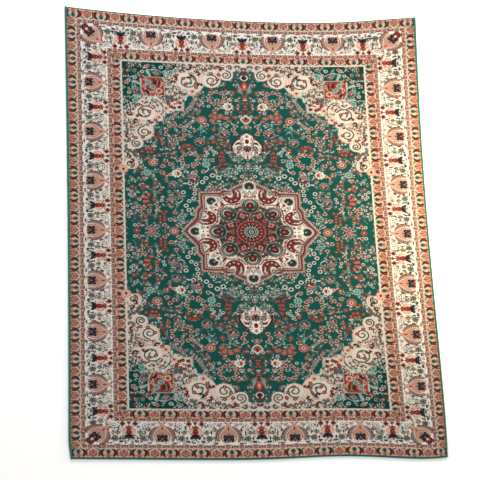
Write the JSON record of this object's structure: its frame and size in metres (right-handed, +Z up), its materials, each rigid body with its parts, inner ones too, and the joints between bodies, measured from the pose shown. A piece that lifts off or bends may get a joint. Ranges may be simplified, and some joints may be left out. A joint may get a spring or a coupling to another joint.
{
  "type": "persian rug",
  "caption": "Flat Persian pile carpet with a medallion field, scrolled corners and flowered borders, overcast at its sides and bound at its ends.",
  "frame": {"origin": "on the floor, under the middle of the carpet's box", "axes": "+X across the carpet to its right edge, +Y along it to its far end, +Z up out of the pile"},
  "size_m": [1.9998, 3.13, 0.0105],
  "materials": {
    "wool_pile": "short sheared wool pile, matt with a slight sheen",
    "edge_wool": "green overcasting wool, matt"
  },
  "bodies": {
    "root": {"pile_carpet": "wool_pile", "side_edge_left": "edge_wool", "side_edge_right": "edge_wool", "end_binding_near": "edge_wool", "end_binding_far": "edge_wool"}
  },
  "joints": []
}
